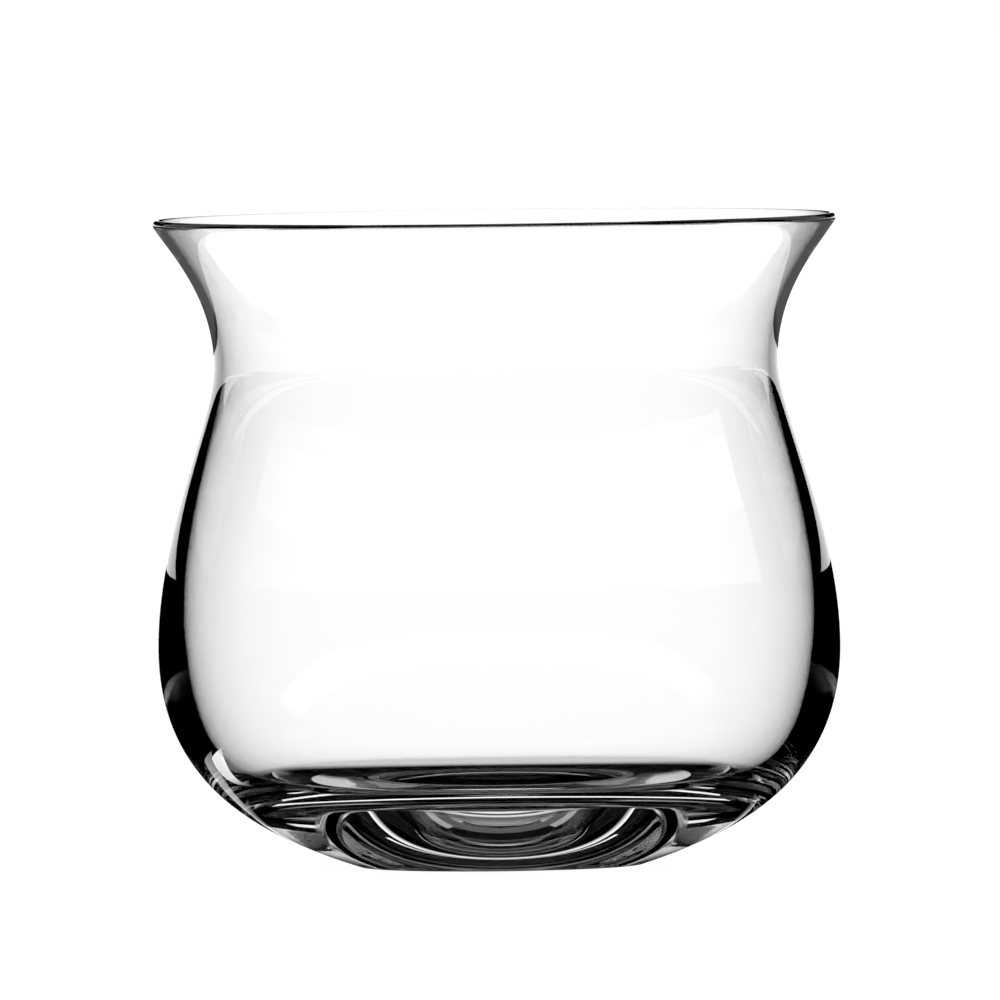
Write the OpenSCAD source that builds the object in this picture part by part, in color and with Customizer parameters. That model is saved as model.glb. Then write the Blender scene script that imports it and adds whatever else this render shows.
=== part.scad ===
// Whisky nosing glass: one blown piece of clear crystal.
// A thick, ground base carries a round belly, a drawn-in neck and a flared lip.
// The origin is the middle of the resting ring, and +Z is up.

/* [Height] */
// From the table to the top of the lip
glass_h = 80; // [72:1:92]

/* [Outside] */
// Across the belly at its widest
belly_d = 84; // [80:1:88]
// Height of the belly's widest line
belly_z = 27; // [26:1:30]
// Across the neck at its narrowest
neck_d = 69.4; // [62:0.2:74]
// Height of the neck's narrowest line
neck_z = 61.8; // [56:0.2:66]
// Across the lip
lip_d = 84.2; // [78:0.2:94]
// Angle of the wall at the lip, from upright
lip_flare = 33; // [25:1:50]

/* [Glass thickness] */
// At the lip, which is melted round
lip_wall = 1.1; // [0.8:0.1:2]
// At the neck
neck_wall = 1.1; // [0.8:0.1:2]
// From the belly's widest line to the widest line of the inside
belly_wall = 3; // [2.4:0.1:4]
// Height of the widest line of the inside
cavity_z = 30.5; // [29:0.5:32]
// Height of the floor of the bowl, in the middle of the base
floor_z = 9.4; // [8:0.1:11]
// Across the floor of the bowl, between the corners where it turns up
floor_d = 56; // [50:0.5:58]
// From the middle of the floor up to those corners
floor_dish = 0.8; // [0.5:0.1:1.6]
// Slope of the floor at those corners
floor_slope = 5; // [3:0.5:8]

/* [Base] */
// Across the flat that is ground on the base
foot_d = 34.4; // [34:0.2:40]
// Angle at which the belly leaves that flat
foot_rise = 18; // [12:1:24]
// Across the polished hollow inside the flat
hollow_d = 31; // [27:0.5:33]
// Depth of the hollow in its middle
hollow_depth = 4.4; // [2:0.2:5.6]

/* [Hidden] */

// Points along each curve of the outline
curve_steps = 20;
// Points round the melted lip
lip_steps = 10;
// Facets of a drawn circle
$fn = 128;

// How far each curve of the outside leans on its end tangents, as shares of its rise or reach
foot_reach_share = 0.46;
under_belly_share = 0.65;
over_belly_share = 0.41;
under_neck_share = 0.18;
over_neck_share = 0.48;
under_lip_share = 0.22;

// The same for the inside, where the wall turns down into a nearly flat floor
wall_turn_share = 0.65;
corner_reach_share = 0.5;
floor_lean_share = 0.4;

function point_on(curve, t) =
    let (u = 1 - t)
    u * u * u * curve[0] + 3 * u * u * t * curve[1] + 3 * u * t * t * curve[2] + t * t * t * curve[3];

// Every point of a cubic curve but its last, which starts the next one
function trace(curve) = [for (i = [0 : curve_steps - 1]) point_on(curve, i / curve_steps)];

// Where the melted lip sits, and the way out of the glass along and across the wall there
lip_r = lip_wall / 2;
lip_centre = [lip_d / 2 - lip_r, glass_h - lip_r];
lip_along = [sin(lip_flare), cos(lip_flare)];
lip_across = [cos(lip_flare), -sin(lip_flare)];
lip_outside = lip_centre + lip_r * lip_across;
lip_inside = lip_centre - lip_r * lip_across;

// Outside, from the ground flat up to the lip
foot_edge = [foot_d / 2, 0];
belly_edge = [belly_d / 2, belly_z];
neck_edge = [neck_d / 2, neck_z];
foot_to_belly = [
    foot_edge,
    foot_edge + foot_reach_share * (belly_d - foot_d) / 2 * [cos(foot_rise), sin(foot_rise)],
    belly_edge - [0, under_belly_share * belly_z],
    belly_edge
];
belly_to_neck = [
    belly_edge,
    belly_edge + [0, over_belly_share * (neck_z - belly_z)],
    neck_edge - [0, under_neck_share * (neck_z - belly_z)],
    neck_edge
];
neck_to_lip = [
    neck_edge,
    neck_edge + [0, over_neck_share * (glass_h - neck_z)],
    lip_outside - under_lip_share * (glass_h - neck_z) * lip_along,
    lip_outside
];

// Inside, from the lip down to the middle of the floor
cavity_edge = [belly_d / 2 - belly_wall, cavity_z];
neck_inside = [neck_d / 2 - neck_wall, neck_z];
floor_middle = [0, floor_z];
corner_edge = floor_middle + [floor_d / 2, floor_dish];
corner_along = [cos(floor_slope), sin(floor_slope)];
lip_to_neck = [
    lip_inside,
    lip_inside - under_lip_share * (glass_h - neck_z) * lip_along,
    neck_inside + [0, over_neck_share * (glass_h - neck_z)],
    neck_inside
];
neck_to_cavity = [
    neck_inside,
    neck_inside - [0, under_neck_share * (neck_z - cavity_z)],
    cavity_edge + [0, over_belly_share * (neck_z - cavity_z)],
    cavity_edge
];
cavity_to_corner = [
    cavity_edge,
    cavity_edge - [0, wall_turn_share * (cavity_edge[1] - corner_edge[1])],
    corner_edge + corner_reach_share * (cavity_edge[0] - corner_edge[0]) * corner_along,
    corner_edge
];
corner_to_middle = [
    corner_edge,
    corner_edge - floor_lean_share * corner_edge[0] * corner_along,
    floor_middle + [floor_lean_share * corner_edge[0], 0],
    floor_middle
];

// Half of the glass, cut through its axis
module wall_outline()
    polygon(concat(
        [[0, 0]],
        trace(foot_to_belly),
        trace(belly_to_neck),
        trace(neck_to_lip),
        [for (i = [0 : lip_steps - 1])
            let (turn = 180 * i / lip_steps)
            lip_centre + lip_r * (cos(turn) * lip_across + sin(turn) * lip_along)],
        trace(lip_to_neck),
        trace(neck_to_cavity),
        trace(cavity_to_corner),
        trace(corner_to_middle),
        [floor_middle]
    ));

// The ball of the wheel that grinds and polishes the underside hollow
module polishing_ball() {
    hollow_r = hollow_d / 2;
    ball_r = (hollow_r * hollow_r + hollow_depth * hollow_depth) / (2 * hollow_depth);
    translate([0, 0, hollow_depth - ball_r]) sphere(r = ball_r);
}

module nosing_glass()
    color([0.93, 0.96, 0.96, 0.35])
    difference() {
        rotate_extrude() wall_outline();
        polishing_ball();
    }

nosing_glass();
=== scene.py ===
from math import cos, radians, sin

import bpy
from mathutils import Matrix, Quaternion, Vector


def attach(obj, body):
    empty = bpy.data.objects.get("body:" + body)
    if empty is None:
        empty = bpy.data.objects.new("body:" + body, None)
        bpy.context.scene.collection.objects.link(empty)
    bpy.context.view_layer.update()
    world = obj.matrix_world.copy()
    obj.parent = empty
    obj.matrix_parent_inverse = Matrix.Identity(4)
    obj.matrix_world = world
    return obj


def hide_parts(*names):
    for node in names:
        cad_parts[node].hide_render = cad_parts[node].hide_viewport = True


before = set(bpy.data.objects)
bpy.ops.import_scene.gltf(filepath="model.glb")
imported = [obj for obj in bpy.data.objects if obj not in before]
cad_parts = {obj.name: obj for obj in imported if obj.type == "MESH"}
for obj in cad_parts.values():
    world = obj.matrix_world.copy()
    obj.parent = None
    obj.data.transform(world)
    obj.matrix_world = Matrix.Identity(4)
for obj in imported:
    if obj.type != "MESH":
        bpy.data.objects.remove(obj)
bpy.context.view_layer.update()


# The glass: one gather of clear crystal, blown thin above a heavy base.
# Its lip is cut and melted round, its base is ground to a flat ring,
# and a shallow hollow is polished inside that ring.

class Value:
    """A socket of a node tree, so that sums on it are written as sums."""

    def __init__(self, tree, socket=None):
        self.tree, self.socket = tree, socket

    def plug(self, sockets, given):
        for socket, one in zip(sockets, given):
            if isinstance(one, Value):
                self.tree.links.new(one.socket, socket)
            elif one is not None:
                socket.default_value = one

    def node(self, kind, settings=None, **sockets):
        """A new node: its settings are made first, then its sockets are filled by name."""
        made = self.tree.nodes.new(kind)
        for name, setting in (settings or {}).items():
            setattr(made, name, setting)
        for name, given in sockets.items():
            socket = next(s for s in made.inputs if s.enabled and s.name.replace(" ", "_") == name)
            for one in given if isinstance(given, list) else [given]:
                self.plug([socket], [one])
        return made

    def out(self, made, name=None):
        """The named output of a node, or the first that is in use."""
        usable = [s for s in made.outputs if s.enabled]
        return Value(self.tree, next((s for s in usable if s.name == name), usable[0]))

    def math(self, operation, *given):
        made = self.node("ShaderNodeMath", {"operation": operation})
        self.plug(made.inputs, given)
        return self.out(made)

    def __add__(self, other): return self.math("ADD", self, other)
    def __radd__(self, other): return self.math("ADD", other, self)
    def __sub__(self, other): return self.math("SUBTRACT", self, other)
    def __rsub__(self, other): return self.math("SUBTRACT", other, self)
    def __mul__(self, other): return self.math("MULTIPLY", self, other)
    def __rmul__(self, other): return self.math("MULTIPLY", other, self)
    def __truediv__(self, other): return self.math("DIVIDE", self, other)
    def __rtruediv__(self, other): return self.math("DIVIDE", other, self)


crystal = bpy.data.materials.new("clear_crystal")
crystal.use_nodes = True
crystal.node_tree.nodes.clear()
melt = Value(crystal.node_tree)
place = melt.out(melt.node("ShaderNodeTexCoord"), "Object")
height = melt.out(melt.node("ShaderNodeSeparateXYZ", Vector=place), "Z")

# Faint waves that blowing and turning leave in the wall, longer round the glass than up it
waves_round, waves_up = 38, 95  # in a metre
wave_depth = 0.00006
wave_strength = 0.35
stretched = melt.out(melt.node(
    "ShaderNodeMapping", Vector=place, Scale=(waves_round, waves_round, waves_up),
))
waves = melt.out(melt.node(
    "ShaderNodeTexNoise", Vector=stretched, Scale=1.0, Detail=1.5, Roughness=0.45,
))
wavy = melt.out(melt.node(
    "ShaderNodeBump", Strength=wave_strength, Distance=wave_depth, Height=waves,
))

# The ring that the glass stands on has lost its full polish
worn_height = 0.00025
scratches_in_metre = 900.0
ring_dullness, scratch_dullness = 0.04, 0.12
on_ring = melt.math("LESS_THAN", height, worn_height)
scratches = melt.out(melt.node(
    "ShaderNodeTexNoise", Vector=place, Scale=scratches_in_metre, Detail=3.0, Roughness=0.7,
))

crystal_tint = (0.985, 0.992, 0.99, 1.0)
crystal_bending = 1.52
shader = melt.node(
    "ShaderNodeBsdfPrincipled", Base_Color=crystal_tint,
    Roughness=on_ring * (ring_dullness + scratch_dullness * scratches), Normal=wavy,
)
shader.inputs["IOR"].default_value = crystal_bending
shader.inputs["Transmission Weight"].default_value = 1.0
melt.node("ShaderNodeOutputMaterial", Surface=melt.out(shader))

# The same lengths as the solid's, but a hair less in height and across the lip, to stay inside it
sizes = {
    "Height": 0.07999, "Belly width": 0.084, "Belly height": 0.027,
    "Neck width": 0.0694, "Neck height": 0.0618,
    "Lip width": 0.08418, "Lip flare": radians(33), "Lip wall": 0.0011,
    "Neck wall": 0.0011, "Belly wall": 0.0030, "Inside belly height": 0.0305,
    "Floor height": 0.0094, "Floor width": 0.0560,
    "Floor dish": 0.0008, "Floor slope": radians(5),
    "Foot width": 0.0344, "Foot rise": radians(18),
    "Hollow width": 0.0310, "Hollow depth": 0.0044, "Arris": 0.0003,
}
tree = bpy.data.node_groups.new("blown_wall", "GeometryNodeTree")
tree.interface.new_socket("Geometry", in_out="OUTPUT", socket_type="NodeSocketGeometry")
for name, amount in sizes.items():
    socket = tree.interface.new_socket(name, in_out="INPUT", socket_type="NodeSocketFloat")
    socket.default_value = amount
tree.interface.new_socket("Finish", in_out="INPUT", socket_type="NodeSocketMaterial")
wall = Value(tree)
ordered = wall.node("NodeGroupInput")
size = {name: wall.out(ordered, name) for name in sizes}

# How far each curve of the outside leans on its end tangents, as shares of its rise or reach
foot_reach_share = 0.46
under_belly_share = 0.65
over_belly_share = 0.41
under_neck_share = 0.18
over_neck_share = 0.48
under_lip_share = 0.22

# The same for the inside, where the wall turns down into a nearly flat floor
wall_turn_share = 0.65
corner_reach_share = 0.5
floor_lean_share = 0.4

# The same for the eased edges underneath, as a share of the arris
ease_share = 0.4

# A curve follows a round when it leans 4/3 tan(angle / 4) of the radius on each tangent
round_share = 4 / 3

# The wall is swept round a small ring, and its radii are counted from that ring
sweep_ring = 0.005
facets_round_glass = 256
weld_gap = 0.000002


def bend(*corners, steps=36):
    """One cubic stretch of the outline. Its start, handles and end are (radius, level)."""
    start, lean, reach, end = (
        wall.out(wall.node("ShaderNodeCombineXYZ", X=radius - sweep_ring, Y=0 - level))
        for radius, level in corners
    )
    return wall.out(wall.node(
        "GeometryNodeCurvePrimitiveBezierSegment",
        Resolution=steps, Start=start, Start_Handle=lean, End_Handle=reach, End=end,
    ))


def turned(angle):
    """How far a step of one goes across and along when it leans by the angle."""
    return wall.math("SINE", angle), wall.math("COSINE", angle)


# Outside, from the ground ring up to the lip
foot_r, belly_r, neck_r = size["Foot width"] / 2, size["Belly width"] / 2, size["Neck width"] / 2
belly_z, neck_z, top_z = size["Belly height"], size["Neck height"], size["Height"]
rise, run = turned(size["Foot rise"])
foot_reach = foot_reach_share * (belly_r - foot_r)
arris = size["Arris"]
foot_edge = (foot_r + arris * run, arris * rise)
outside_of_belly = bend(
    foot_edge,
    (foot_r + foot_reach * run, foot_reach * rise),
    (belly_r, (1 - under_belly_share) * belly_z),
    (belly_r, belly_z),
    steps=60,
)
outside_of_neck = bend(
    (belly_r, belly_z),
    (belly_r, belly_z + over_belly_share * (neck_z - belly_z)),
    (neck_r, neck_z - under_neck_share * (neck_z - belly_z)),
    (neck_r, neck_z),
)
lip_half = size["Lip wall"] / 2
lip_out, lip_up = turned(size["Lip flare"])
lip_r, lip_z = size["Lip width"] / 2 - lip_half, top_z - lip_half
lean = under_lip_share * (top_z - neck_z)
lift = over_neck_share * (top_z - neck_z)
lip_outside = (lip_r + lip_half * lip_up, lip_z - lip_half * lip_out)
lip_inside = (lip_r - lip_half * lip_up, lip_z + lip_half * lip_out)
outside_of_flare = bend(
    (neck_r, neck_z),
    (neck_r, neck_z + lift),
    (lip_outside[0] - lean * lip_out, lip_outside[1] - lean * lip_up),
    lip_outside,
)

# Inside, from the lip down to the middle of the bowl's floor
neck_in_r, cavity_r = neck_r - size["Neck wall"], belly_r - size["Belly wall"]
cavity_z, floor_z = size["Inside belly height"], size["Floor height"]
corner_r, corner_z = size["Floor width"] / 2, floor_z + size["Floor dish"]
floor_up, floor_out = turned(size["Floor slope"])
inside_of_flare = bend(
    lip_inside,
    (lip_inside[0] - lean * lip_out, lip_inside[1] - lean * lip_up),
    (neck_in_r, neck_z + lift),
    (neck_in_r, neck_z),
)
inside_of_neck = bend(
    (neck_in_r, neck_z),
    (neck_in_r, neck_z - under_neck_share * (neck_z - cavity_z)),
    (cavity_r, cavity_z + over_belly_share * (neck_z - cavity_z)),
    (cavity_r, cavity_z),
)
corner_reach = corner_reach_share * (cavity_r - corner_r)
wall_of_bowl = bend(
    (cavity_r, cavity_z),
    (cavity_r, cavity_z - wall_turn_share * (cavity_z - corner_z)),
    (corner_r + corner_reach * floor_out, corner_z + corner_reach * floor_up),
    (corner_r, corner_z),
    steps=60,
)
floor_lean = floor_lean_share * corner_r
floor_of_bowl = bend(
    (corner_r, corner_z),
    (corner_r - floor_lean * floor_out, corner_z - floor_lean * floor_up),
    (floor_lean, floor_z),
    (0, floor_z),
    steps=40,
)

# The lip, melted to half a round between the two
bulge = round_share * lip_half
melted_lip = bend(
    lip_outside,
    (lip_outside[0] + bulge * lip_out, lip_outside[1] + bulge * lip_up),
    (lip_inside[0] + bulge * lip_out, lip_inside[1] + bulge * lip_up),
    lip_inside,
    steps=14,
)

# Underneath, the flat ring with both its edges eased, and the hollow, which is part of a ball
hollow_r, hollow_z = size["Hollow width"] / 2, size["Hollow depth"]
ball_r = (hollow_r * hollow_r + hollow_z * hollow_z) / (2 * hollow_z)
slope = wall.math("ARCSINE", hollow_r / ball_r)
down, along = turned(slope)
reach = ball_r * wall.math("TANGENT", slope / 4) * round_share
hollow_edge = (hollow_r - arris * along, arris * down)
hollow = bend(
    (0, hollow_z),
    (reach, hollow_z),
    (hollow_edge[0] - reach * along, hollow_edge[1] + reach * down),
    hollow_edge,
    steps=30,
)
ease = ease_share * arris
eased_inside = bend(
    hollow_edge,
    (hollow_r - ease * along, ease * down),
    (hollow_r + ease, 0),
    (hollow_r + arris, 0),
    steps=6,
)
flat_ring = bend(
    (hollow_r + arris, 0),
    (hollow_r + 2 * arris, 0),
    (foot_r - 2 * arris, 0),
    (foot_r - arris, 0),
    steps=8,
)
eased_outside = bend(
    (foot_r - arris, 0),
    (foot_r - ease, 0),
    (foot_r + ease * run, ease * rise),
    foot_edge,
    steps=6,
)

outline = wall.out(wall.node("GeometryNodeJoinGeometry", Geometry=[
    hollow, eased_inside, flat_ring, eased_outside,
    outside_of_belly, outside_of_neck, outside_of_flare, melted_lip,
    inside_of_flare, inside_of_neck, wall_of_bowl, floor_of_bowl,
]))
turning = wall.out(wall.node(
    "GeometryNodeCurvePrimitiveCircle", Resolution=facets_round_glass, Radius=sweep_ring,
))
swept = wall.out(wall.node("GeometryNodeCurveToMesh", Curve=turning, Profile_Curve=outline))
welded = wall.out(wall.node("GeometryNodeMergeByDistance", Geometry=swept, Distance=weld_gap))
outward = wall.out(wall.node("GeometryNodeFlipFaces", Mesh=welded))
smooth = wall.out(wall.node("GeometryNodeSetShadeSmooth", Geometry=outward))
real = wall.out(wall.node("GeometryNodeRealizeInstances", Geometry=smooth))
finished = wall.node(
    "GeometryNodeSetMaterial", Geometry=real, Material=wall.out(ordered, "Finish"),
)
wall.node("NodeGroupOutput", Geometry=wall.out(finished))

glass = bpy.data.objects.new("crystal_nosing_glass", bpy.data.meshes.new("nosing_glass_blank"))
bpy.context.scene.collection.objects.link(glass)
blowing = glass.modifiers.new("blowing", "NODES")
blowing.node_group = tree
for item in tree.interface.items_tree:
    if item.in_out == "INPUT":
        blowing[item.identifier] = crystal if item.name == "Finish" else sizes[item.name]
evaluated = glass.evaluated_get(bpy.context.evaluated_depsgraph_get())
blown = bpy.data.meshes.new_from_object(evaluated)
glass.modifiers.clear()
glass.data = blown
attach(glass, "root")
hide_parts("nosing_glass")


# The floor under the glass is plain and white, and keeps its soft shadow.
# To light that the glass mirrors or bends it shines white, but for a painted shadow, a dark
# patch under the glass, which the crystal of the base gathers.
white_level = 1.2
floor_reach = 6.0
floor_mesh = bpy.data.meshes.new("floor")
floor_mesh.from_pydata(
    [(x * floor_reach, y * floor_reach, 0) for x, y in ((-1, -1), (1, -1), (1, 1), (-1, 1))],
    [], [(0, 1, 2, 3)],
)
floor = bpy.data.objects.new("floor", floor_mesh)
bpy.context.scene.collection.objects.link(floor)
white = bpy.data.materials.new("white_floor")
white.use_nodes = True
white.node_tree.nodes.clear()
paper = Value(white.node_tree)
spot = paper.node(
    "ShaderNodeSeparateXYZ", Vector=paper.out(paper.node("ShaderNodeTexCoord"), "Object"),
)

# The painted shadow is an oval with a soft edge, set a little towards the camera
shadow_across, shadow_back, shadow_forward = 0.044, 0.037, 0.010
shadow_end, shadow_fade = 1.08, 0.16
across = paper.out(spot, "X") / shadow_across
back = (paper.out(spot, "Y") + shadow_forward) / shadow_back
away = paper.math("SQRT", across * across + back * back)
fading = (shadow_end - away) / shadow_fade
# Painted shadow: full inside the oval, fading out across its soft edge
painted_shadow = paper.math("MINIMUM", 1, paper.math("MAXIMUM", 0, fading))

# The camera sees mostly its own white, and the rest is matt, which keeps the shadow
paper_white = (0.85, 0.85, 0.85, 1)
seen_share = 0.78
floor_ray = paper.node("ShaderNodeLightPath")
seen = paper.out(floor_ray, "Is Camera Ray")
bent = paper.math(
    "MAXIMUM", paper.out(floor_ray, "Is Glossy Ray"), paper.out(floor_ray, "Is Transmission Ray"),
)
matt = paper.out(paper.node("ShaderNodeBsdfDiffuse", Color=paper_white))
lit = paper.out(paper.node("ShaderNodeEmission", Color=(1, 1, 1, 1), Strength=white_level))
dark = paper.out(paper.node("ShaderNodeEmission", Color=(0, 0, 0, 1), Strength=0.0))
# Light that the glass bends or mirrors meets black in the painted shadow and white elsewhere
shining = paper.node("ShaderNodeMixShader", Fac=painted_shadow * bent)
plain = paper.node("ShaderNodeMixShader", Fac=seen_share * seen + bent)
paper.plug(shining.inputs[1:], [lit, dark])
paper.plug(plain.inputs[1:], [matt, paper.out(shining)])
paper.node("ShaderNodeOutputMaterial", Surface=paper.out(plain))
floor_mesh.materials.append(white)


# Plain cards stand and lie round the glass, as in a studio. Only the glass sees them.
# Azimuths run clockwise from straight behind the glass, in degrees, and levels of light
# run from 0, black, to 1, white.
facets_round_card, facets_up_card = 96, 12
all_round = (0, 360)


def dome(distance, lowest, highest):
    """A profile at one distance from the middle of the floor, between two elevations."""
    climbs = [
        radians(lowest + (highest - lowest) * step / facets_up_card)
        for step in range(facets_up_card + 1)
    ]
    return [(distance * cos(climb), distance * sin(climb)) for climb in climbs]


def show_card(name, side, profile, strength, turns=None, walls=0):
    """A card of one level of light: a profile of (radius, height) turned from side to side.

    With turns, only light that the glass has turned back that many times meets the card,
    once it has also crossed at least that many walls.
    """
    bearings = [
        radians(side[0] + (side[1] - side[0]) * step / facets_round_card)
        for step in range(facets_round_card + 1)
    ]
    row = len(bearings)
    sheet = bpy.data.meshes.new(name)
    sheet.from_pydata(
        [(r * sin(bearing), r * cos(bearing), z) for r, z in profile for bearing in bearings],
        [],
        [
            (corner, corner + 1, corner + 1 + row, corner + row)
            for level in range(len(profile) - 1)
            for corner in range(level * row, level * row + facets_round_card)
        ],
    )
    glowing = bpy.data.materials.new(name)
    glowing.use_nodes = True
    glowing.node_tree.nodes.clear()
    glow = Value(glowing.node_tree)
    grey = (strength, strength, strength, 1)
    light = glow.out(glow.node("ShaderNodeEmission", Color=grey, Strength=1.0))
    if turns:
        fewest, most = turns
        card_ray = glow.node("ShaderNodeLightPath")
        turned_back = glow.out(card_ray, "Glossy Depth")
        crossed = glow.out(card_ray, "Transmission Depth")
        meets = (
            glow.math("GREATER_THAN", turned_back, fewest - 0.5)
            * glow.math("LESS_THAN", turned_back, most + 0.5)
            * glow.math("GREATER_THAN", crossed, walls - 0.5)
        )
        clear = glow.out(glow.node("ShaderNodeBsdfTransparent"))
        choice = glow.node("ShaderNodeMixShader", Fac=meets)
        glow.plug(choice.inputs[1:], [clear, light])
        light = glow.out(choice)
    glow.node("ShaderNodeOutputMaterial", Surface=light)
    sheet.materials.append(glowing)
    made = bpy.data.objects.new(name, sheet)
    bpy.context.scene.collection.objects.link(made)
    made.visible_camera = made.visible_shadow = False
    made.visible_diffuse = made.visible_volume_scatter = False


# Behind the glass and over it, the bright backdrop, two soft windows and the ceiling
room_reach = 3.0
window_light, ceiling_light = 0.4, 0.45
window = dome(room_reach, 9, 57)
show_card("backdrop", (-60, 60), dome(room_reach, -1, 4), white_level)
show_card("left_window", (-60, -26), window, window_light)
show_card("right_window", (26, 60), window, window_light)
show_card("ceiling", (-60, 60), dome(room_reach, 56, 85), ceiling_light)

# In front of it, a wide light that fades out towards the left
front = dome(room_reach, -1, 34)
fade_start, fade_width, fade_light, fade_step = 235, 6, 0.95, 0.08
show_card("front_light", (76, fade_start), front, 1.0)
for i in range(8):
    show_card(
        "front_light_fade_%d" % i, (fade_start + fade_width * i, fade_start + fade_width * (i + 1)),
        front, fade_light - fade_step * i,
    )

# Close round it, black rings that give clear glass its dark edges. They meet only light
# that the glass has turned back, so the view straight through the glass stays white.
black = 0.0
once, again, at_least_once = (1, 1), (2, 20), (1, 20)
near_reach, tall_reach, far_reach = 0.06, 0.0595, 0.17
near_ring = dome(near_reach, 0.4, 38)
show_card("near_ring", all_round, near_ring, black, once)
show_card("near_ring_inner", (32, 328), near_ring, black, again)
show_card("near_ring_tall", all_round, dome(tall_reach, 37, 45), black, at_least_once, walls=1)
show_card("far_ring", all_round, dome(far_reach, 0.1, 22), black, at_least_once, walls=1)

# A black mat on the floor inside them, and a dark band level with the neck and the flare
mat_inside, mat_outside, mat_level = 0.038, 0.060, 0.0004
mat = [(mat_inside, mat_level), (mat_outside, mat_level)]
show_card("ring_mat", (-65, 282), mat, black, at_least_once)
neck_band_r, neck_band_foot, neck_band_top = 0.055, 0.062, 0.078
neck_band = [(neck_band_r, neck_band_foot), (neck_band_r, neck_band_top)]
neck_band_light = 0.08
show_card("neck_band", all_round, neck_band, neck_band_light, at_least_once)


# The room is white to the camera and to light that passes straight through the glass,
# pale to the floor, and black to what the glass mirrors, which the cards light instead
room_light = 0.7
world = bpy.data.worlds.new("studio")
bpy.context.scene.world = world
world.use_nodes = True
world.node_tree.nodes.clear()
room = Value(world.node_tree)
room_ray = room.node("ShaderNodeLightPath")
camera_ray, diffuse_ray = room.out(room_ray, "Is Camera Ray"), room.out(room_ray, "Is Diffuse Ray")
unturned = room.math("LESS_THAN", room.out(room_ray, "Glossy Depth"), 0.5)
straight = unturned * room.out(room_ray, "Is Transmission Ray")
level = camera_ray + room_light * diffuse_ray + straight
sky = room.node("ShaderNodeBackground", Color=(1, 1, 1, 1), Strength=level)
room.node("ShaderNodeOutputWorld", Surface=room.out(sky))

# Two round soft lamps, which light the floor and don't show in the glass
lamp_width = 0.9
belly_middle = Vector((0, 0, 0.03))
for name, stand, watts in (("key", (-0.5, -0.6, 1.3), 6), ("fill", (0.9, 0.3, 1.0), 4)):
    lamp = bpy.data.lights.new(name, "AREA")
    lamp.shape, lamp.size, lamp.energy = "DISK", lamp_width, watts
    softbox = bpy.data.objects.new(name, lamp)
    bpy.context.scene.collection.objects.link(softbox)
    softbox.location = stand
    softbox.rotation_euler = (belly_middle - softbox.location).to_track_quat("-Z", "Y").to_euler()
    softbox.visible_glossy = softbox.visible_transmission = False

# The camera stands 4 m away, a little above the rim, and leans as the photograph does
camera_away, camera_height, camera_lean = 4, 0.169, 0.0125
photo_pixels = 1000
glass_pixels = 650
table_to_middle_pixels = 366
glass_height = 0.080
metres_in_pixel = glass_height / glass_pixels
aim_right = 0.0003
sensor = 36
camera = bpy.data.objects.new("camera", bpy.data.cameras.new("camera"))
bpy.context.scene.collection.objects.link(camera)
camera.location = (0, -camera_away, camera_height)
aim = Vector((aim_right, 0, table_to_middle_pixels * metres_in_pixel))
looking = (aim - camera.location).to_track_quat("-Z", "Y")
camera.rotation_mode = "QUATERNION"
camera.rotation_quaternion = looking @ Quaternion((0, 0, 1), -camera_lean)
camera.data.sensor_width = sensor
camera.data.lens = sensor * camera_away / (photo_pixels * metres_in_pixel)
camera.data.clip_end = 20
bpy.context.scene.camera = camera

# Light may turn many times inside the thick base
bpy.context.scene.view_settings.view_transform = "Standard"
cycles = bpy.context.scene.cycles
cycles.max_bounces = cycles.transmission_bounces = cycles.glossy_bounces = 24
